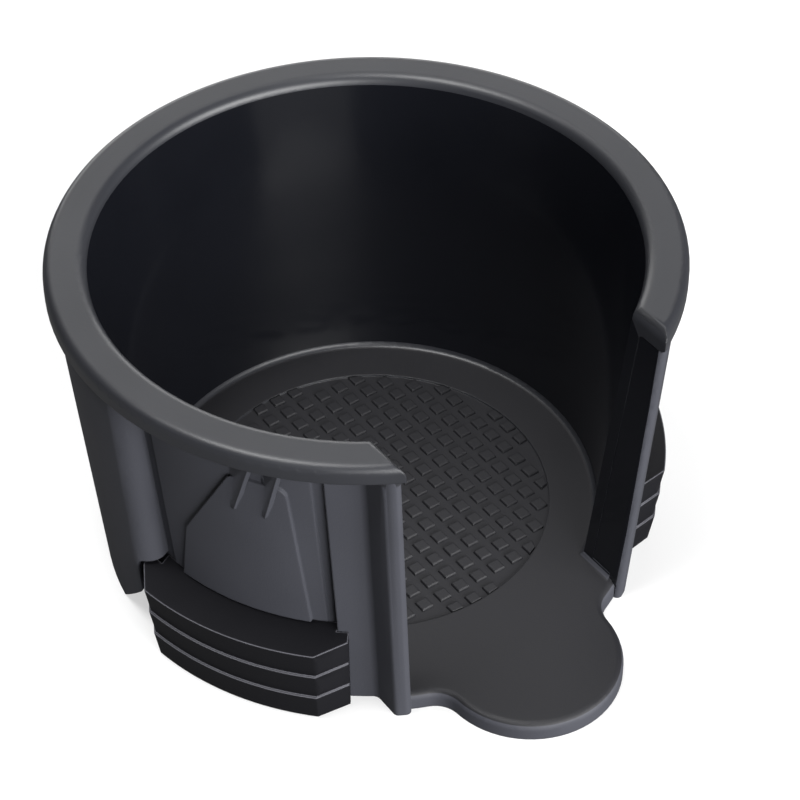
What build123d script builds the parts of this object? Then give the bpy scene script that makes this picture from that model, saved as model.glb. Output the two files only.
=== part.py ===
from build123d import *
from math import asin, cos, degrees, radians, sin, sqrt
import os

# Insert cup holder for a car console: a slotted cup with a wide rim and three rubber grip pads.
# Frame: origin on the base plane at the cup's axis, +Z up, the handle slot facing -Y.
# Bearings are in degrees about +Z, counted from the slot (-Y) towards +X.

# Rim
RIM_R = 50.0
RIM_TOP = 58.5
RIM_THICK = 3.8
RIM_UNDER = RIM_TOP - RIM_THICK
RIM_LAND = 6.6
RIM_EDGE = 1.5
RIM_LOW_EDGE = 0.7
LIP_EDGE = 1.8
RIM_ROOT = 0.8

# Cup wall and floor
FLOOR_TOP = 3.2
FLOOR_THICK = 2.2
FLOOR_UNDER = FLOOR_TOP - FLOOR_THICK
WELL_DRAFT = 0.1007
WELL_R = RIM_R - RIM_LAND - WELL_DRAFT * (RIM_TOP - FLOOR_TOP)
WALL = 1.9
COVE = 1.0
BASE_EDGE = 1.5
FOOT_WIDTH = 5.2
CORE_R = WELL_R + WALL - FOOT_WIDTH

# Grip field of the floor
FIELD_MARGIN = 7.8
FIELD_R = WELL_R - FIELD_MARGIN
FIELD_DEPTH = 0.45

# Bays
SIDE_BAY = 63.2
REAR_BAY = 180.0
BAY_SHARE = 0.4176
BAY_HALF = BAY_SHARE * WELL_R
PAN_MARGIN = 2.1
PAN_HALF = BAY_HALF - PAN_MARGIN
PAN_RAISE = 0.5
PANEL_RAISE = 1.1
PANEL_MARGIN = 4.3
PANEL_FOOT_HALF = BAY_HALF - PANEL_MARGIN
PANEL_KNEE = (-8.7, 30.4)
PANEL_HEAD_NEAR = (1.5, 48.6)
PANEL_HEAD_FAR = (10.2, 48.2)
PANEL_ROUND = 2.0
GUSSET_THICK = 0.9
GUSSET_TIP = 41.0
GUSSET_SHY = 2.3
GUSSET_REACH = RIM_R - GUSSET_SHY
SIDE_GUSSETS = (SIDE_BAY - 2.4, SIDE_BAY - 8.9)
REAR_GUSSETS = (-3.4, 3.4)

# Skirts between the bays
SKIRT_INSET = 1.23
SKIRT_DRAFT = 0.0697
SKIRT_R = RIM_R - SKIRT_INSET - SKIRT_DRAFT * RIM_UNDER
SKIRT_WALL = 2.2
SKIRT_CORNER = 3.0
NOTCH_TOP = 17.3
NOTCH_ROOM = 3.5
NOTCH_HALF = BAY_HALF + NOTCH_ROOM
NOTCH_KNEE = 9.25
NOTCH_SPREAD = 7.3
NOTCH_FOOT_HALF = NOTCH_HALF + NOTCH_SPREAD
NOTCH_ROUND = 1.5

# Handle slot, the thick wall beside it and its end ribs
SLOT_SHARE = 0.5414
SLOT_HALF = SLOT_SHARE * WELL_R
SLOT_DRAFT = 0.0602
SLOT_EDGE = 2.4
PLAIN_WALL = 3.97
PLAIN_R = WELL_R + PLAIN_WALL
RIB_SETBACK = 0.1
RIB_WIDTH = 2.8
RIB_PROUD = 1.1
RIB_R = SKIRT_R + RIB_PROUD
RIB_EDGE = 0.9
RIB_ROOT = 1.5

# Tongue of the floor
TONGUE_R = 15.15
TONGUE_OUT = 5.87
TONGUE_REACH = WELL_R + TONGUE_OUT
TONGUE_FILLET = 4.5
TONGUE_EDGE = 1.3
TONGUE_WALL = 2.6

# Grip pads
BOND_GAP = 0.1
WING_GAP = 0.25
PAD_LOW = 0.4
PAD_HIGH = 16.5
PAD_TOP_GAP = 0.5
TIER_COUNT = 3
TIER_PITCH = (PAD_HIGH - PAD_LOW) / TIER_COUNT
TIER_STEP = 0.5
LEDGE = 0.4
PAD_PROUD = 2.75
PAD_R = SKIRT_R + SKIRT_DRAFT * PAD_HIGH + PAD_PROUD
PAD_ARC_HALF = 18.0
WING_FOOT_R = PLAIN_R + SKIRT_DRAFT * PAD_HIGH + WING_GAP
WING_DEPTH = 2.1
WING_R = WING_FOOT_R + WING_DEPTH
WING_LEAN = 0.8
WING_ANGLE = 23.9

PAST = 1.0
FAR = 60.0


def well_r(z):
    """Radius of the well's wall at a height."""
    return WELL_R + WELL_DRAFT * (z - FLOOR_TOP)


def wall_r(z):
    """Radius of the cup's outer wall at a height."""
    return well_r(z) + WALL


def slot_half(z):
    """Half the width of the handle slot at a height."""
    return SLOT_HALF + SLOT_DRAFT * (z - FLOOR_TOP)


def skirt_r(z):
    """Outer radius of the skirts at a height."""
    return SKIRT_R + SKIRT_DRAFT * z


def plain_r(z):
    """Outer radius of the thick wall beside the slot at a height."""
    return PLAIN_R + SKIRT_DRAFT * z


def rib_r(z):
    """Outer radius of the ribs at the ends of the slot at a height."""
    return RIB_R + SKIRT_DRAFT * z


def polar(radius, bearing):
    """Point in plan at a radius and a bearing from the front."""
    return (radius * sin(radians(bearing)), -radius * cos(radians(bearing)))


def bearing_of(offset, radius):
    """Bearing at which a line at an offset from the axis meets a radius."""
    return degrees(asin(offset / radius))


def arc(radius, start, end):
    """Arc in plan about the cup's axis between two bearings."""
    return ThreePointArc(polar(radius, start), polar(radius, (start + end) / 2), polar(radius, end))


def rounded(points, rounds=()):
    """Flat outline through the points, with corners rounded as (index, radius) pairs."""
    face = make_face(Polyline(*points, close=True))
    for index, radius in rounds:
        corner = face.vertices().sort_by_distance(points[index])[0]
        face = fillet(corner, radius)
    return face


def turned(points, rounds=(), start=0.0, end=360.0):
    """Solid turned about the cup's axis from a half-section of (radius, height) points."""
    solid = revolve(Plane.XZ * rounded(points, rounds), Axis.Z, end - start)
    return Rot(0, 0, start - 90) * solid


def forward(points, rounds=()):
    """Prism through the front half from an outline of (width, height) points."""
    return extrude(Plane.XZ * rounded(points, rounds), FAR)


def mirrored(points):
    """Closes a list of (width, height) points given for +X with their mirror images."""
    return points + [(-x, z) for x, z in reversed(points)]


def plan_radius(edge):
    """Distance of an edge's middle from the cup's axis."""
    return Vector(edge.center().X, edge.center().Y).length


def outer_uprights(block):
    """Upright edges of a skirt block on its outer face."""
    middle = RIM_UNDER / 2
    between = (wall_r(middle) + skirt_r(middle)) / 2
    uprights = [e for e in block.edges() if abs(e.center().Z - middle) < middle / 2]
    return [e for e in uprights if plan_radius(e) > between]


def make_cup():
    """Cup, floor and rim, turned from one section."""
    points = [
        (0, FLOOR_UNDER),
        (CORE_R, FLOOR_UNDER),
        (CORE_R, 0),
        (wall_r(0) - BASE_EDGE, 0),
        (wall_r(BASE_EDGE), BASE_EDGE),
        (wall_r(RIM_UNDER), RIM_UNDER),
        (RIM_R - RIM_LOW_EDGE, RIM_UNDER),
        (RIM_R, RIM_UNDER + RIM_LOW_EDGE),
        (RIM_R, RIM_TOP),
        (well_r(RIM_TOP), RIM_TOP),
        (WELL_R, FLOOR_TOP),
        (0, FLOOR_TOP),
    ]
    rounds = [
        (5, RIM_ROOT),
        (8, RIM_EDGE),
        (9, LIP_EDGE),
        (10, COVE),
    ]
    return turned(points, rounds)


def bay_channel(half):
    """Upright channel of a bay, open outwards, at the front bearing."""
    return forward(mirrored([(half, -2 * PAST), (half, RIM_TOP + PAST)]))


def skirt_block(inset, low, high):
    """Block between the cup wall and the skirt face from bay to bay, drawn in by an inset."""
    points = [
        (wall_r(low) - WALL / 2 - inset / 4, low),
        (skirt_r(low) - inset, low),
        (skirt_r(high) - inset, high),
        (wall_r(high) - WALL / 2 - inset / 4, high),
    ]
    block = turned(points, start=SIDE_BAY, end=REAR_BAY)
    for bearing in (SIDE_BAY, REAR_BAY):
        block -= Rot(0, 0, bearing) * bay_channel(BAY_HALF + inset)
    return block


def make_notch():
    """Cut beside a bay's pad that gives its wings room, with slanted feet."""
    points = [
        (NOTCH_FOOT_HALF + NOTCH_SPREAD / NOTCH_KNEE * PAST, -PAST),
        (NOTCH_HALF, NOTCH_KNEE),
        (NOTCH_HALF, NOTCH_TOP),
    ]
    return forward(mirrored(points), [(index, NOTCH_ROUND) for index in (1, 2, 3, 4)])


def make_skirt():
    """Double wall on the +X side, open underneath, between the side bay and the rear bay."""
    outer = skirt_block(0, 0, RIM_UNDER + PAST)
    outer = fillet(outer_uprights(outer), SKIRT_CORNER)
    skirt = outer - skirt_block(SKIRT_WALL, -PAST, RIM_UNDER)
    for bearing in (SIDE_BAY, REAR_BAY):
        skirt -= Rot(0, 0, bearing) * make_notch()
    return skirt


def slot_wall_outline(z):
    """Plan at a height of the thick wall on the +X side from the slot to the side bay, with its end rib."""
    inner = wall_r(z) - WALL / 2
    near = slot_half(z) + RIB_SETBACK
    far = near + RIB_WIDTH
    nose = bearing_of(near, rib_r(z))
    back = bearing_of(far, rib_r(z))
    root = bearing_of(far, plain_r(z))
    bay = SIDE_BAY - bearing_of(BAY_HALF, plain_r(z))
    bay_inner = SIDE_BAY - bearing_of(BAY_HALF, inner)
    slot_inner = bearing_of(near, inner)
    lines = Line(polar(inner, slot_inner), polar(rib_r(z), nose))
    lines += arc(rib_r(z), nose, back)
    lines += Line(polar(rib_r(z), back), polar(plain_r(z), root))
    lines += arc(plain_r(z), root, bay)
    lines += Line(polar(plain_r(z), bay), polar(inner, bay_inner))
    lines += arc(inner, bay_inner, slot_inner)
    face = make_face(lines)
    for corner, radius in (
        (polar(rib_r(z), nose), RIB_EDGE),
        (polar(rib_r(z), back), RIB_EDGE),
        (polar(plain_r(z), root), RIB_ROOT),
    ):
        face = fillet(face.vertices().sort_by_distance(corner)[0], radius)
    return Pos(0, 0, z) * face


def make_slot_wall():
    """Thick wall on the +X side from the slot to the side bay, with the rib at its end."""
    return loft([slot_wall_outline(0), slot_wall_outline(RIM_UNDER + PAST)], ruled=True)


def make_foot():
    """Ledge along the slot's foot on the +X side, which the slot's cut turns into a cove."""
    high = FLOOR_TOP + COVE
    ring = turned([
        (wall_r(0) - WALL / 2, 0),
        (SKIRT_R - TONGUE_EDGE, 0),
        (SKIRT_R - TONGUE_EDGE, high),
        (wall_r(0) - WALL / 2, high),
    ])
    near = SLOT_HALF - 2 * COVE
    far = SLOT_HALF + PAST
    return ring & forward([(near, 0), (far, 0), (far, RIM_TOP), (near, RIM_TOP)])


def make_tongue():
    """Rounded tongue that carries the floor out through the slot, hollow underneath."""
    reach = TONGUE_REACH + TONGUE_R
    front = Pos(0, -reach / 2) * Rectangle(2 * SLOT_HALF + 2 * PAST, reach)
    outline = (Circle(SKIRT_R) & front) + Pos(0, -TONGUE_REACH) * Circle(TONGUE_R)
    necks = [v for v in outline.vertices() if abs(v.X) < TONGUE_R + PAST and v.Y < -WELL_R]
    outline = fillet(necks, TONGUE_FILLET) - Circle(CORE_R)
    tongue = extrude(outline, FLOOR_TOP)
    top = tongue.faces().sort_by(Axis.Z)[-1]
    rim = [e for e in top.edges().filter_by(GeomType.CIRCLE) if plan_radius(e) > wall_r(0)]
    tongue = fillet(rim, TONGUE_EDGE)
    core = Pos(0, -TONGUE_REACH) * Circle(TONGUE_R - TONGUE_WALL) - Circle(wall_r(0) + TONGUE_WALL)
    return tongue - extrude(core, FLOOR_UNDER)


def skin(raise_by, low):
    """Turned skin over the cup wall from a height up to the rim."""
    high = RIM_UNDER + PAST / 2
    return turned([
        (wall_r(low) - WALL / 2, low),
        (wall_r(low) + raise_by, low),
        (wall_r(high) + raise_by, high),
        (wall_r(high) - WALL / 2, high),
    ])


def make_bay():
    """Raised pan and panel above a pad, at the front bearing."""
    low = PAD_HIGH + PAD_TOP_GAP
    pan = skin(PAN_RAISE, low) & forward(mirrored([(PAN_HALF, 0), (PAN_HALF, RIM_TOP)]))
    outline = [
        (PANEL_FOOT_HALF, PAD_HIGH),
        PANEL_HEAD_FAR,
        PANEL_HEAD_NEAR,
        PANEL_KNEE,
        (-PANEL_FOOT_HALF, PAD_HIGH),
    ]
    panel = skin(PANEL_RAISE, low) & forward(outline, [(1, PANEL_ROUND), (2, PANEL_ROUND)])
    return pan + panel


def make_gusset(bearing):
    """Thin upright web under the rim, in line with the tongue, with its tip on the panel at a bearing."""
    high = RIM_UNDER + PAST / 2
    face_r = wall_r(GUSSET_TIP) + PANEL_RAISE
    side = face_r * sin(radians(bearing))
    web = rounded([
        (-sqrt((face_r - PANEL_RAISE - WALL / 2) ** 2 - side ** 2), GUSSET_TIP),
        (-sqrt(face_r ** 2 - side ** 2), GUSSET_TIP),
        (-sqrt(GUSSET_REACH ** 2 - side ** 2), high),
        (-sqrt((wall_r(high) - WALL / 2) ** 2 - side ** 2), high),
    ])
    return Pos(side, 0, 0) * extrude(Plane.YZ * web, GUSSET_THICK / 2, both=True)


def make_slot():
    """Cutter for the handle slot: upright V, coved at the floor, flared over the rim's ends."""
    points = [
        (SLOT_HALF, FLOOR_TOP),
        (slot_half(RIM_TOP), RIM_TOP),
        (slot_half(RIM_TOP) + 3 * SLOT_EDGE, RIM_TOP + SLOT_EDGE / 6),
        (slot_half(RIM_TOP) + 3 * SLOT_EDGE, RIM_TOP + FAR),
    ]
    return forward(mirrored(points), [(0, COVE), (1, SLOT_EDGE), (6, SLOT_EDGE), (7, COVE)])


def make_holder():
    """The whole moulding."""
    skirt = make_skirt()
    slot_wall = make_slot_wall()
    side_bay = Rot(0, 0, -SIDE_BAY) * make_bay() + [make_gusset(-bearing) for bearing in SIDE_GUSSETS]
    rear_bay = Rot(0, 0, REAR_BAY) * (make_bay() + [make_gusset(bearing) for bearing in REAR_GUSSETS])
    foot = make_foot()
    body = make_cup() + [foot, mirror(foot, Plane.YZ)] - make_slot()
    body += make_tongue()
    body += [skirt, mirror(skirt, Plane.YZ)]
    body += [side_bay, mirror(side_bay, Plane.YZ), rear_bay]
    body += [slot_wall, mirror(slot_wall, Plane.YZ)]
    field = Cylinder(FIELD_R, 2 * FIELD_DEPTH)
    return body - Pos(0, 0, FLOOR_TOP) * field


def tier_outline(inset):
    """Plan of a pad tier: arc in front, straight chamfers and blunt wings, drawn in by an inset."""
    edge = [
        polar(WING_FOOT_R, WING_ANGLE),
        polar(WING_R - WING_LEAN * inset, WING_ANGLE),
        polar(PAD_R - inset, PAD_ARC_HALF),
    ]
    far_edge = [(-x, y) for x, y in edge]
    lines = Polyline(*edge) + Polyline(*far_edge)
    lines += ThreePointArc(edge[-1], (0, -(PAD_R - inset)), far_edge[-1])
    lines += ThreePointArc(edge[0], (0, -WING_FOOT_R), far_edge[0])
    return make_face(lines)


def make_pad():
    """Grip pad at the front bearing: a core on the cup wall and barbed tiers that lean inwards."""
    core_r = WING_FOOT_R + PAST / 2
    pad = turned([
        (wall_r(PAD_LOW) + BOND_GAP, PAD_LOW),
        (core_r, PAD_LOW),
        (core_r, PAD_HIGH),
        (wall_r(PAD_HIGH) + BOND_GAP, PAD_HIGH),
    ], start=-WING_ANGLE, end=WING_ANGLE)
    pad &= bay_channel(BAY_HALF - BOND_GAP)
    for count in range(TIER_COUNT):
        top = Pos(0, 0, PAD_HIGH - count * TIER_PITCH) * tier_outline(count * TIER_STEP)
        low = Pos(0, 0, PAD_HIGH - (count + 1) * TIER_PITCH) * tier_outline((count + 1) * TIER_STEP + LEDGE)
        pad += loft([low, top], ruled=True)
    return pad


def main():
    """Writes one file for the moulding and one for each grip pad."""
    os.makedirs("parts", exist_ok=True)
    pad = make_pad()
    nodes = {
        "holder_body": make_holder(),
        "left_grip_pad": Rot(0, 0, -SIDE_BAY) * pad,
        "right_grip_pad": Rot(0, 0, SIDE_BAY) * pad,
        "rear_grip_pad": Rot(0, 0, REAR_BAY) * pad,
    }
    for name, shape in nodes.items():
        export_step(shape, f"parts/{name}.step")
        print(name, round(shape.volume), "mm3", len(shape.solids()), "solid")


main()
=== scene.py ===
"""Dressed model of a car cup holder insert: satin moulding, squared floor and rubber grip pads."""

import math

import bmesh
import bpy
import numpy as np
from mathutils import Matrix, Vector


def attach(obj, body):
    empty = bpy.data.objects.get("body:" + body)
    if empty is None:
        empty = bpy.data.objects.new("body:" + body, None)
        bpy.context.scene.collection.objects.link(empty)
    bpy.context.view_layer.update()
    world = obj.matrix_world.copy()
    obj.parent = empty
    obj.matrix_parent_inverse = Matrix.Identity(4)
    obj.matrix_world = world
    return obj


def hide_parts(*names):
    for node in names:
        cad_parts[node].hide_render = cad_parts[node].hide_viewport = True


bl_info = {
    "name": "Cup Holder Insert",
    "version": (1, 0, 0),
    "blender": (4, 5, 0),
    "location": "View3D > Sidebar > Cup Holder",
    "description": "Builds a slotted cup holder insert with a squared floor and rubber grip pads",
    "category": "Add Mesh",
}

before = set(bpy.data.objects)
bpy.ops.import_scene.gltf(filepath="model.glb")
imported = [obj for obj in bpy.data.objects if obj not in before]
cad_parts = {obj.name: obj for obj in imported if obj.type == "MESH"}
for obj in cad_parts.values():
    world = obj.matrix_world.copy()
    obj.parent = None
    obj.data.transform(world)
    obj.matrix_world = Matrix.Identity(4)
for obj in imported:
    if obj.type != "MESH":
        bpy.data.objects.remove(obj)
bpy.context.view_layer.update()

MM = 0.001
BODY = "root"
MOULDING_NODE = "holder_body"
PAD_NODES = ("left_grip_pad", "right_grip_pad", "rear_grip_pad")

# Material slots of the moulding in order, and the material that the floor shares with its squares.
RIM, WELL, FLOOR, WALL, FIELD = range(5)
FLOOR_FINISH = "abs_matt_moulded"

# Where the finishes of the moulding change, in millimetres. A draft is the widening per height.
FLOOR_TOP = 3.2
FLOOR_BAND = 0.1
BASE_BAND = 0.5
WELL_FLOOR_R = 37.83
WELL_DRAFT = 0.1007
WELL_TOP = 56.4
WELL_BAND = 0.35
COVE_TOP = 4.4
RIM_UNDER = 54.6
SLOT_HALF = 20.48
SLOT_DRAFT = 0.0602
SLOT_BAND = 0.35

# Cosines: how squarely a face of the well looks at the axis, of the floor up, of a slot end across.
WELL_FACING = 0.9
FLOOR_FACING = 0.6
SLOT_FACING = 0.95

# Floor squares: how far inside the field's edge a centre lies, as a share of the square's width, then the
# gap that corners keep from that edge and the depth of the foot in the field, in millimetres.
SQUARE_INSIDE = 0.15
SQUARE_GAP = 0.05
SQUARE_SINK = 0.02

# Points of a solid's mesh that are nearer than this, in millimetres, are one point of a closed seam.
SEAM = 0.0005

# Triangles of a turned surface: how far the corners may lie out of level, in millimetres, how far the normal
# may lie off the middle of their bearings, as a share of the spread and in radians, the widest swing in
# radians, and the least lean of the normal from upright.
LEVEL_SLACK = 0.03
MIDDLE_SHARE = 0.25
MIDDLE_SLACK = 0.005
WIDEST_SWING = 0.35
LEAST_LEAN = 0.05

# Triangles lower than this share of their length are slender. They look this far round for a true normal.
SLENDER = 0.25
FAN_ANGLE = math.radians(45)

# Faces with a steeper normal than this are level planes. Their rounded edges leave them without a bend.
PLANE_RISE = 1 - 1e-5
PLANE_WEIGHT = 1000

# Moulded surfaces: width of the clouds and radius of the edges in millimetres, the noise between which the
# clouds run, their share in the roughness, and the refraction of plastic.
CLOUD_MM = 18
EDGE_MM = 0.35
CLOUD_LOW = 0.3
CLOUD_HIGH = 0.7
GLOSS_SPREAD = 0.06
PLASTIC_IOR = 1.5

# Painted highlight on the upper edges of the rubber: radius in millimetres, the cosines between the rounded
# and the flat normal at which the painted highlight starts and is full, and the rise of the normal at which an
# edge starts to count as upper.
HIGHLIGHT_EDGE_MM = 0.4
HIGHLIGHT_START = 0.99
HIGHLIGHT_FULL = 0.9
UPPER_START = 0.1
UPPER_FULL = 0.35

# Sockets of a Mix node in its colour form. Its forms share socket names, so they go by number.
MIX_FACTOR = 0
MIX_FIRST = 6
MIX_SECOND = 7
MIX_RESULT = 2

# White paper: half its side in metres, its tone to the camera, in reflections and to bounced light, and its
# glow to the camera, which grows from near to far between two distances in metres.
WHITE = "ffffff"
PAPER_HALF = 3.0
PAPER_SEEN = "a4a4a4"
PAPER_MIRRORED = "626262"
PAPER_BOUNCED = "383838"
GLOW_NEAR = 0.55
GLOW_FAR = 1.0
GLOW_START = 0.3
GLOW_END = 1.2

# Strength of the room as a light, and as the camera sees it.
ROOM_LIGHT = 0.04
ROOM_SEEN = 1.0

# Soft boxes with place, width and height in metres, and watts. They face a point inside the cup.
SOFT_BOXES = (
    ("soft_box_front", (0.15, -1.15, 0.4), (1.6, 0.7), 50),
    ("soft_box_left", (-0.35, 0.1, 1.3), (0.5, 0.5), 16),
    ("soft_box_back", (0.25, 0.5, 0.95), (0.7, 0.5), 2.6),
    ("soft_box_rear", (0.6, 1.1, 0.35), (1.2, 0.6), 8),
)
LIT_POINT = Vector((0, 0, 0.03))

# Camera fitted to the photograph, in metres, for a square picture. Lens and sensor are in millimetres.
CAMERA_PLACE = Vector((-0.17289, -0.25613, 0.31404))
CAMERA_RIGHT = Vector((0.8154, -0.5788, -0.0079))
CAMERA_UP = Vector((0.4001, 0.5537, 0.7303))
CAMERA_NEAR = 0.01
CAMERA_LENS = 116.41
SENSOR = 36.0


def linear(hex_colour):
    """Linear RGBA from an sRGB hex value such as 3a3b40."""
    srgb = np.array([int(hex_colour[i:i + 2], 16) for i in (0, 2, 4)]) / 255
    rgb = np.where(srgb <= 0.04045, srgb / 12.92, ((srgb + 0.055) / 1.055) ** 2.4)
    return (*rgb.tolist(), 1.0)


class CupHolderSizes(bpy.types.PropertyGroup):
    """Sizes of the pieces that are added to the solids."""

    square_pitch: bpy.props.FloatProperty(
        name="Square pitch", description="Spacing of the floor squares",
        default=3.626 * MM, unit="LENGTH", precision=5)
    square_width: bpy.props.FloatProperty(
        name="Square width", description="Width of a floor square at its foot",
        default=2.3 * MM, unit="LENGTH", precision=5)
    square_slope: bpy.props.FloatProperty(
        name="Square slope", description="How far a square's side leans in",
        default=0.16 * MM, unit="LENGTH", precision=5)
    field_depth: bpy.props.FloatProperty(
        name="Field depth", description="Depth of the round field that holds the squares",
        default=0.45 * MM, unit="LENGTH", precision=5)
    field_radius: bpy.props.FloatProperty(
        name="Field radius", description="Radius of the round field that holds the squares",
        default=29.9 * MM, unit="LENGTH", precision=5)
    smooth_angle: bpy.props.FloatProperty(
        name="Smooth angle", description="Edges flatter than this are shaded smooth",
        default=math.radians(14), subtype="ANGLE")


class CupHolderColours(bpy.types.PropertyGroup):
    """Colours of the moulding and the rubber."""

    moulding: bpy.props.FloatVectorProperty(
        name="Moulding", description="Satin grey of the rim",
        size=4, subtype="COLOR", default=linear("25262a"), min=0, max=1)
    wall: bpy.props.FloatVectorProperty(
        name="Wall", description="Eroded grey of the outer walls",
        size=4, subtype="COLOR", default=linear("3b3c42"), min=0, max=1)
    # Painted shade: the well's colour is darker than the rest of the same moulding, to paint the shade inside
    # the cup.
    well: bpy.props.FloatVectorProperty(
        name="Well", description="Polished near-black of the well",
        size=4, subtype="COLOR", default=linear("0e0f13"), min=0, max=1)
    floor: bpy.props.FloatVectorProperty(
        name="Floor", description="Matt dark grey of the floor and the tongue",
        size=4, subtype="COLOR", default=linear("151519"), min=0, max=1)
    field: bpy.props.FloatVectorProperty(
        name="Field", description="Dull dark grey of the grooves between the squares",
        size=4, subtype="COLOR", default=linear("16161a"), min=0, max=1)
    rubber: bpy.props.FloatVectorProperty(
        name="Rubber", description="Black of the grip pads",
        size=4, subtype="COLOR", default=linear("0d0d11"), min=0, max=1)
    # Painted highlight: the light grey painted along the upper edges of the grip pads, where light catches
    # them.
    painted_edge_highlight: bpy.props.FloatVectorProperty(
        name="Painted edge highlight", description="Painted highlight grey of the upper edges of the grip pads",
        size=4, subtype="COLOR", default=linear("5c5c62"), min=0, max=1)


def add_node(tree, kind, settings=None, inputs=None):
    """Adds a node, sets its properties and its sockets, and links any socket given as an input."""
    node = tree.nodes.new(kind)
    for name, value in (settings or {}).items():
        setattr(node, name, value)
    for name, value in (inputs or {}).items():
        if isinstance(value, bpy.types.NodeSocket):
            tree.links.new(value, node.inputs[name])
        else:
            node.inputs[name].default_value = value
    return node


def new_material(name):
    """Empty node material with its output node."""
    material = bpy.data.materials.new(name)
    material.use_nodes = True
    material.node_tree.nodes.clear()
    return material, add_node(material.node_tree, "ShaderNodeOutputMaterial")


def moulded_plastic(name, colour, roughness, shine, grain_mm, grain_height_mm, tone_spread):
    """Moulded plastic: a spark-eroded grain on the surface and a faint cloud in tone and gloss.

    The grain of a real mould is finer than a tenth of a millimetre. It is drawn coarser, so that it shows.
    """
    material, output = new_material(name)
    tree = material.node_tree
    place = add_node(tree, "ShaderNodeTexCoord").outputs["Object"]
    grain = add_node(tree, "ShaderNodeTexNoise", None, {
        "Vector": place, "Scale": 1 / (grain_mm * MM), "Detail": 3.0, "Roughness": 0.6})
    cloud = add_node(tree, "ShaderNodeTexNoise", None, {
        "Vector": place, "Scale": 1 / (CLOUD_MM * MM), "Detail": 2.0})
    cloudy = {"Value": cloud.outputs["Fac"], "From Min": CLOUD_LOW, "From Max": CLOUD_HIGH}
    tone = add_node(tree, "ShaderNodeMapRange", None, {
        **cloudy, "To Min": 1 - tone_spread, "To Max": 1 + tone_spread})
    gloss = add_node(tree, "ShaderNodeMapRange", None, {
        **cloudy, "To Min": roughness * (1 - GLOSS_SPREAD), "To Max": roughness * (1 + GLOSS_SPREAD)})
    tint = add_node(tree, "ShaderNodeVectorMath", {"operation": "SCALE"}, {
        "Vector": colour[:3], "Scale": tone.outputs["Result"]})
    edge = add_node(tree, "ShaderNodeBevel", {"samples": 4}, {"Radius": EDGE_MM * MM})
    bump = add_node(tree, "ShaderNodeBump", None, {
        "Height": grain.outputs["Fac"], "Distance": grain_height_mm * MM, "Strength": 1.0,
        "Normal": edge.outputs["Normal"]})
    shader = add_node(tree, "ShaderNodeBsdfPrincipled", None, {
        "Base Color": tint.outputs["Vector"], "Roughness": gloss.outputs["Result"],
        "Normal": bump.outputs["Normal"], "IOR": PLASTIC_IOR, "Specular IOR Level": shine})
    tree.links.new(shader.outputs["BSDF"], output.inputs["Surface"])
    return material


def satin_abs(colours):
    """Satin moulded ABS of the rim: soft wide highlights, as a lightly eroded mould gives."""
    return moulded_plastic(
        "abs_satin_moulded", colours.moulding, roughness=0.4, shine=0.45,
        grain_mm=0.35, grain_height_mm=0.012, tone_spread=0.05)


def polished_abs(colours):
    """Polished moulded ABS of the well: clear reflections, as a polished core gives, and a near-black colour,
    darker than the rest of the same plastic, which paints the shade inside the cup.
    """
    return moulded_plastic(
        "abs_polished_core", colours.well, roughness=0.16, shine=0.5,
        grain_mm=1.2, grain_height_mm=0.002, tone_spread=0.08)


def matt_abs(colours):
    """Matt moulded ABS of the floor: an even grey with hardly any highlight."""
    return moulded_plastic(
        FLOOR_FINISH, colours.floor, roughness=0.58, shine=0.42,
        grain_mm=0.4, grain_height_mm=0.02, tone_spread=0.05)


def eroded_abs(colours):
    """Spark-eroded ABS of the outer walls: an even grey that hardly shines, even seen along the wall."""
    return moulded_plastic(
        "abs_eroded_moulded", colours.wall, roughness=0.6, shine=0.25,
        grain_mm=0.4, grain_height_mm=0.03, tone_spread=0.05)


def etched_abs(colours):
    """Etched ABS of the grooves between the squares: as dark as the floor, and duller."""
    return moulded_plastic(
        "abs_etched_field", colours.field, roughness=0.65, shine=0.4,
        grain_mm=0.4, grain_height_mm=0.03, tone_spread=0.05)


def grip_rubber(colours):
    """Matt black moulded rubber: dull, with a thin light line painted along its upper edges as a highlight."""
    material = moulded_plastic(
        "rubber_matt_moulded", colours.rubber, roughness=0.6, shine=0.2,
        grain_mm=0.5, grain_height_mm=0.02, tone_spread=0.12)
    tree = material.node_tree
    shader = next(node for node in tree.nodes if node.type == "BSDF_PRINCIPLED")
    # Painted highlight: a light grey is mixed into the base colour along rounded edges that face upwards.
    rounded = add_node(tree, "ShaderNodeBevel", {"samples": 8}, {"Radius": HIGHLIGHT_EDGE_MM * MM}).outputs["Normal"]
    flat = add_node(tree, "ShaderNodeNewGeometry").outputs["True Normal"]
    alike = add_node(tree, "ShaderNodeVectorMath", {"operation": "DOT_PRODUCT"}, {0: rounded, 1: flat})
    edge = add_node(tree, "ShaderNodeMapRange", None, {
        "Value": alike.outputs["Value"], "From Min": HIGHLIGHT_START, "From Max": HIGHLIGHT_FULL})
    rise = add_node(tree, "ShaderNodeSeparateXYZ", None, {"Vector": rounded})
    upper = add_node(tree, "ShaderNodeMapRange", None, {
        "Value": rise.outputs["Z"], "From Min": UPPER_START, "From Max": UPPER_FULL})
    highlight_mask = add_node(tree, "ShaderNodeMath", {"operation": "MULTIPLY"}, {
        0: edge.outputs["Result"], 1: upper.outputs["Result"]})
    skin = shader.inputs["Base Color"].links[0].from_socket
    highlighted = add_node(tree, "ShaderNodeMix", {"data_type": "RGBA"}, {
        MIX_FACTOR: highlight_mask.outputs["Value"], MIX_FIRST: skin, MIX_SECOND: colours.painted_edge_highlight})
    tree.links.new(highlighted.outputs[MIX_RESULT], shader.inputs["Base Color"])
    return material


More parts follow.
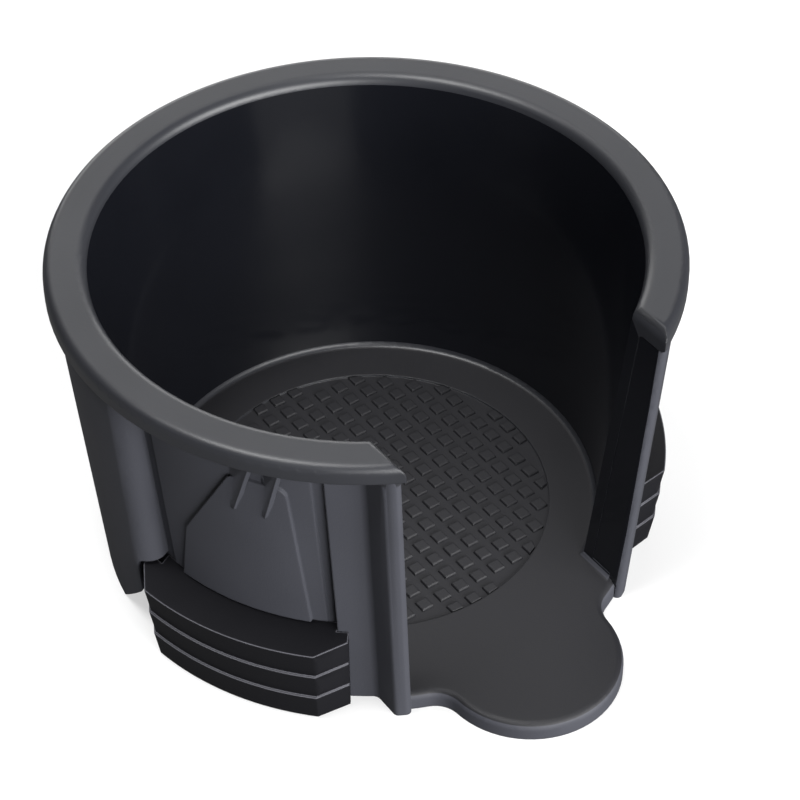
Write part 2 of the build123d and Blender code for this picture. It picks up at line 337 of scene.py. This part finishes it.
def face_places(mesh):
    """Centres in millimetres and normals of all faces, as arrays."""
    centres = np.zeros(len(mesh.polygons) * 3)
    normals = np.zeros(len(mesh.polygons) * 3)
    mesh.polygons.foreach_get("center", centres)
    mesh.polygons.foreach_get("normal", normals)
    return centres.reshape(-1, 3) / MM, normals.reshape(-1, 3)


def corner_places(mesh):
    """Vertex number of every corner, and the places of the three corners of each triangle, as arrays."""
    corners = np.zeros(len(mesh.loops), np.int32)
    mesh.loops.foreach_get("vertex_index", corners)
    places = np.zeros(len(mesh.vertices) * 3)
    mesh.vertices.foreach_get("co", places)
    return corners, places.reshape(-1, 3)[corners.reshape(-1, 3)]


def corner_pairs(corners):
    """Every pair of corners that share a vertex, each corner with itself too, as two arrays."""
    order = np.argsort(corners, kind="stable")
    count = np.bincount(corners)
    start = np.cumsum(count) - count
    vertex = corners[order]
    size = count[vertex]
    first = np.repeat(order, size)
    step = np.arange(len(first)) - np.repeat(np.cumsum(size) - size, size)
    second = order[np.repeat(start[vertex], size) + step]
    return first, second


def corner_angles(points):
    """Angle at each corner of the triangles, and each triangle's height as a share of its longest side."""
    ahead = np.roll(points, -1, 1) - points
    behind = np.roll(points, 1, 1) - points
    length = np.linalg.norm(ahead, axis=2)
    cosine = (ahead * behind).sum(2) / (length * np.linalg.norm(behind, axis=2))
    height = np.linalg.norm(np.cross(ahead[:, 0], behind[:, 0]), axis=1) / length.max(1)
    return np.arccos(np.clip(cosine, -1, 1)), height / length.max(1)


def swung_normals(points, rise):
    """Normals at the corners of triangles, and which of the triangles belong to a turned surface.

    A triangle of a surface turned about the part's axis has its normal at the middle of its bearings, and
    its corners lie level along that normal. There the normal is swung to the bearing of each corner. Any
    other triangle keeps its own normal at all its corners.
    """
    flat = np.hypot(rise[:, 0], rise[:, 1])
    facing = np.sign((rise[:, None, :2] * points[..., :2]).sum((1, 2)))
    across = (facing * flat)[:, None]
    own = np.arctan2(facing * rise[:, 1], facing * rise[:, 0])[:, None]
    bearing = np.arctan2(points[..., 1], points[..., 0])
    off = (bearing - own + math.pi) % (2 * math.pi) - math.pi
    level = np.hypot(points[..., 0], points[..., 1]) * across + points[..., 2] * rise[:, 2:]
    turned = np.abs(off.max(1) + off.min(1)) < MIDDLE_SHARE * np.ptp(off, 1) + MIDDLE_SLACK
    turned &= np.ptp(level, 1) < LEVEL_SLACK * MM
    turned &= (flat > LEAST_LEAN) & (np.abs(off).max(1) < WIDEST_SWING)
    aim = np.where(turned[:, None], own + off, own)
    upright = np.broadcast_to(rise[:, 2:], aim.shape)
    return np.stack([across * np.cos(aim), across * np.sin(aim), upright], 2), turned


def true_normals(mesh, angle):
    """Gives a mesh of triangles the normals of the true surface.

    Normals that meet in a point and differ by less than the angle are averaged, each weighted by its
    corner's angle. Slender triangles that fan out over a rounded edge have no true normal, so they take that
    of their neighbours. Level planes keep their normal up to their edges.
    """
    corners, points = corner_places(mesh)
    rise = face_places(mesh)[1]
    swung, turned = swung_normals(points, rise)
    bend, height = corner_angles(points)
    plane = np.abs(rise[:, 2]) > PLANE_RISE
    weight = (bend * np.where(plane, PLANE_WEIGHT, 1)[:, None]).ravel()
    firm = np.repeat(turned | plane | (height > SLENDER), 3)
    reach = np.where(firm, math.cos(angle), math.cos(FAN_ANGLE))
    swung = swung.reshape(-1, 3)
    first, second = corner_pairs(corners)
    near = firm[second] & ((swung[first] * swung[second]).sum(1) > reach[first])
    alone = np.bincount(first, near) == 0
    near |= (first == second) & alone[first]
    share = (near * weight[second])[:, None] * swung[second]
    smooth = np.stack([np.bincount(first, part) for part in share.T], 1)
    smooth /= np.linalg.norm(smooth, axis=1, keepdims=True)
    mesh.normals_split_custom_set(smooth.tolist())


def add_piece(name, mesh):
    """Object at the origin that shows a mesh and rides on the part."""
    piece = bpy.data.objects.new(name, mesh)
    bpy.context.scene.collection.objects.link(piece)
    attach(piece, BODY)
    return piece


def smooth_copy(node, name, materials, angle):
    """Copy of a solid's mesh, its seams closed and its normals those of the true surface, in its place."""
    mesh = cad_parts[node].data.copy()
    mesh.name = name
    work = bmesh.new()
    work.from_mesh(mesh)
    bmesh.ops.remove_doubles(work, verts=work.verts, dist=SEAM * MM)
    work.to_mesh(mesh)
    work.free()
    mesh.materials.clear()
    for material in materials:
        mesh.materials.append(material)
    mesh.polygons.foreach_set("material_index", np.zeros(len(mesh.polygons), np.int32))
    mesh.shade_smooth()
    true_normals(mesh, angle)
    piece = add_piece(name, mesh)
    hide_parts(node)
    return piece


def moulding_finish(mesh, sizes):
    """Material slot of each face of the moulding, told by its place and by where it looks."""
    centres, normals = face_places(mesh)
    x, y, z = centres.T
    radius = np.hypot(x, y)
    inward = -(normals[:, :2] * centres[:, :2]).sum(1)
    well_radius = WELL_FLOOR_R + WELL_DRAFT * (z - FLOOR_TOP)
    well = (inward > WELL_FACING * radius) & (np.abs(radius - well_radius) < WELL_BAND)
    well &= (z > COVE_TOP) & (z < WELL_TOP)
    slot_half = SLOT_HALF + SLOT_DRAFT * (z - FLOOR_TOP)
    slot_end = (np.abs(np.abs(x) - slot_half) < SLOT_BAND) & (y < 0) & (z < RIM_UNDER)
    slot_end &= normals[:, 0] * np.sign(x) < -SLOT_FACING
    floor = (z > BASE_BAND) & (z < FLOOR_TOP + FLOOR_BAND) & (normals[:, 2] > FLOOR_FACING)
    field = floor & (z < FLOOR_TOP - sizes.field_depth / MM / 2) & (radius < sizes.field_radius / MM)
    outside = (z < RIM_UNDER) & (radius > well_radius + WELL_BAND)
    places = [well | slot_end, field, floor, outside]
    return np.select(places, [WELL, FIELD, FLOOR, WALL], RIM).astype(np.int32)


def raised_squares(sizes):
    """Vertices and faces of the floor squares, as arrays.

    Each square has its centre at whole steps of the pitch across and along. Its foot ring lies in the
    field. Its top ring is drawn in by the slope and lies level with the floor. Corners past the field's edge
    are drawn back to it along their radius.
    """
    count = int(sizes.field_radius / sizes.square_pitch) + 1
    steps = np.arange(-count, count + 1) * sizes.square_pitch
    x, y = (grid.ravel() for grid in np.meshgrid(steps, steps))
    kept = np.hypot(x, y) < sizes.field_radius - SQUARE_INSIDE * sizes.square_width
    centres = np.stack([x[kept], y[kept]], 1)
    corners = np.array([(-1, -1), (1, -1), (1, 1), (-1, 1)]) / 2
    foot = centres[:, None] + corners * sizes.square_width
    top = centres[:, None] + corners * (sizes.square_width - 2 * sizes.square_slope)
    plan = np.concatenate([foot, top], 1)
    limit = sizes.field_radius - SQUARE_GAP * MM
    plan *= (limit / np.maximum(np.hypot(plan[..., 0], plan[..., 1]), limit))[..., None]
    top_z = FLOOR_TOP * MM
    foot_z = top_z - sizes.field_depth - SQUARE_SINK * MM
    height = np.broadcast_to(np.repeat([foot_z, top_z], 4), plan.shape[:2])
    vertices = np.concatenate([plan, height[..., None]], 2).reshape(-1, 3)
    ring = np.arange(4)
    after = (ring + 1) % 4
    sides = np.stack([ring, after, after + 4, ring + 4], 1)
    square = np.concatenate([sides, [ring + 4], [ring[::-1]]])
    faces = (square + 8 * np.arange(len(centres))[:, None, None]).reshape(-1, 4)
    return vertices, faces


class OBJECT_OT_cup_holder_moulding(bpy.types.Operator):
    """Dress the moulding: satin rim, polished well with painted shade, matt floor, eroded walls and etched
    field
    """

    bl_idname = "object.cup_holder_moulding"
    bl_label = "Cup Holder Moulding"

    def execute(self, context):
        sizes = context.scene.cup_holder_sizes
        colours = context.scene.cup_holder_colours
        makers = (satin_abs, polished_abs, matt_abs, eroded_abs, etched_abs)
        finishes = [make(colours) for make in makers]
        piece = smooth_copy(MOULDING_NODE, "moulding", finishes, sizes.smooth_angle)
        piece.data.polygons.foreach_set("material_index", moulding_finish(piece.data, sizes))
        piece.data.update()
        return {"FINISHED"}


class OBJECT_OT_cup_holder_squares(bpy.types.Operator):
    """Add the raised squares of the floor"""

    bl_idname = "object.cup_holder_squares"
    bl_label = "Cup Holder Floor Squares"

    def execute(self, context):
        vertices, faces = raised_squares(context.scene.cup_holder_sizes)
        mesh = bpy.data.meshes.new("floor_squares")
        mesh.from_pydata(vertices.tolist(), [], faces.tolist())
        mesh.update()
        mesh.materials.append(bpy.data.materials[FLOOR_FINISH])
        add_piece("floor_squares", mesh)
        return {"FINISHED"}


class OBJECT_OT_cup_holder_pads(bpy.types.Operator):
    """Dress the three rubber grip pads"""

    bl_idname = "object.cup_holder_pads"
    bl_label = "Cup Holder Grip Pads"

    def execute(self, context):
        angle = context.scene.cup_holder_sizes.smooth_angle
        rubber = grip_rubber(context.scene.cup_holder_colours)
        for node in PAD_NODES:
            name = node.replace("grip_pad", "rubber_pad")
            smooth_copy(node, name, [rubber], angle)
        return {"FINISHED"}


def sweep_paper():
    """White photographic paper: white to the camera, grey in reflections, dark to the light it throws back."""
    material, output = new_material("paper_white_matt")
    tree = material.node_tree
    path = add_node(tree, "ShaderNodeLightPath")
    unseen = add_node(tree, "ShaderNodeMix", {"data_type": "RGBA"}, {
        MIX_FACTOR: path.outputs["Is Glossy Ray"],
        MIX_FIRST: linear(PAPER_BOUNCED), MIX_SECOND: linear(PAPER_MIRRORED)})
    tone = add_node(tree, "ShaderNodeMix", {"data_type": "RGBA"}, {
        MIX_FACTOR: path.outputs["Is Camera Ray"],
        MIX_FIRST: unseen.outputs[MIX_RESULT], MIX_SECOND: linear(PAPER_SEEN)})
    matt = add_node(tree, "ShaderNodeBsdfDiffuse", None, {"Color": tone.outputs[MIX_RESULT]})
    place = add_node(tree, "ShaderNodeTexCoord").outputs["Object"]
    away = add_node(tree, "ShaderNodeVectorMath", {"operation": "LENGTH"}, {"Vector": place})
    glow = add_node(tree, "ShaderNodeMapRange", None, {
        "Value": away.outputs["Value"], "From Min": GLOW_START, "From Max": GLOW_END,
        "To Min": GLOW_NEAR, "To Max": GLOW_FAR})
    amount = add_node(tree, "ShaderNodeMath", {"operation": "MULTIPLY"}, {
        0: path.outputs["Is Camera Ray"], 1: glow.outputs["Result"]})
    lift = add_node(tree, "ShaderNodeEmission", None, {
        "Color": linear(WHITE), "Strength": amount.outputs["Value"]})
    both = add_node(tree, "ShaderNodeAddShader", None, {
        0: matt.outputs["BSDF"], 1: lift.outputs["Emission"]})
    tree.links.new(both.outputs["Shader"], output.inputs["Surface"])
    return material


def paper_floor():
    """Square of white paper on which the part stands."""
    mesh = bpy.data.meshes.new("paper_floor")
    corners = PAPER_HALF * np.array([(-1, -1, 0), (1, -1, 0), (1, 1, 0), (-1, 1, 0)])
    mesh.from_pydata(corners.tolist(), [], [(0, 1, 2, 3)])
    mesh.materials.append(sweep_paper())
    sheet = bpy.data.objects.new("paper_floor", mesh)
    bpy.context.scene.collection.objects.link(sheet)


def soft_box(name, place, size, watts):
    """Area light at a place in metres that faces the lit point."""
    data = bpy.data.lights.new(name, "AREA")
    data.shape = "RECTANGLE"
    data.size, data.size_y = size
    data.energy = watts
    lamp = bpy.data.objects.new(name, data)
    lamp.location = place
    lamp.rotation_euler = (LIT_POINT - Vector(place)).to_track_quat("-Z", "Y").to_euler()
    bpy.context.scene.collection.objects.link(lamp)


def studio_world():
    """Dim room that looks white where the camera sees it."""
    world = bpy.data.worlds.new("studio_room")
    bpy.context.scene.world = world
    world.use_nodes = True
    tree = world.node_tree
    tree.nodes.clear()
    output = add_node(tree, "ShaderNodeOutputWorld")
    path = add_node(tree, "ShaderNodeLightPath")
    strength = add_node(tree, "ShaderNodeMapRange", None, {
        "Value": path.outputs["Is Camera Ray"], "To Min": ROOM_LIGHT, "To Max": ROOM_SEEN})
    room = add_node(tree, "ShaderNodeBackground", None, {
        "Color": linear(WHITE), "Strength": strength.outputs["Result"]})
    tree.links.new(room.outputs["Background"], output.inputs["Surface"])


def photo_camera():
    """Camera of the photograph, its turn given by its right and up directions."""
    data = bpy.data.cameras.new("photo_camera")
    data.sensor_width = SENSOR
    data.lens = CAMERA_LENS
    data.clip_start = CAMERA_NEAR
    camera = bpy.data.objects.new("photo_camera", data)
    back = CAMERA_RIGHT.cross(CAMERA_UP)
    turn = Matrix((CAMERA_RIGHT, CAMERA_UP, back)).transposed().to_4x4()
    camera.matrix_world = Matrix.Translation(CAMERA_PLACE) @ turn
    bpy.context.scene.collection.objects.link(camera)
    bpy.context.scene.camera = camera


class OBJECT_OT_cup_holder_stage(bpy.types.Operator):
    """Add the floor, the soft boxes, the room and the camera"""

    bl_idname = "object.cup_holder_stage"
    bl_label = "Cup Holder Stage"

    def execute(self, context):
        context.scene.view_settings.view_transform = "Standard"
        paper_floor()
        for name, place, size, watts in SOFT_BOXES:
            soft_box(name, place, size, watts)
        studio_world()
        photo_camera()
        return {"FINISHED"}


class VIEW3D_PT_cup_holder(bpy.types.Panel):
    """Sizes, colours and steps of the cup holder"""

    bl_label = "Cup Holder"
    bl_space_type = "VIEW_3D"
    bl_region_type = "UI"
    bl_category = "Cup Holder"

    def draw(self, context):
        for group in (context.scene.cup_holder_sizes, context.scene.cup_holder_colours):
            for name in group.__annotations__:
                self.layout.prop(group, name)
        for operator in OPERATORS:
            self.layout.operator(operator.bl_idname)


GROUPS = (CupHolderSizes, CupHolderColours)
OPERATORS = (
    OBJECT_OT_cup_holder_moulding,
    OBJECT_OT_cup_holder_squares,
    OBJECT_OT_cup_holder_pads,
    OBJECT_OT_cup_holder_stage,
)
CLASSES = GROUPS + OPERATORS + (VIEW3D_PT_cup_holder,)


def register():
    """Registers the classes and hangs the property groups on the scene."""
    for cls in CLASSES:
        bpy.utils.register_class(cls)
    bpy.types.Scene.cup_holder_sizes = bpy.props.PointerProperty(type=CupHolderSizes)
    bpy.types.Scene.cup_holder_colours = bpy.props.PointerProperty(type=CupHolderColours)


def unregister():
    """Takes everything off again."""
    del bpy.types.Scene.cup_holder_colours
    del bpy.types.Scene.cup_holder_sizes
    for cls in reversed(CLASSES):
        bpy.utils.unregister_class(cls)


def main():
    """Builds the dressed model step by step."""
    register()
    bpy.ops.object.cup_holder_moulding()
    bpy.ops.object.cup_holder_squares()
    bpy.ops.object.cup_holder_pads()
    bpy.ops.object.cup_holder_stage()


if __name__ == "__main__":
    main()
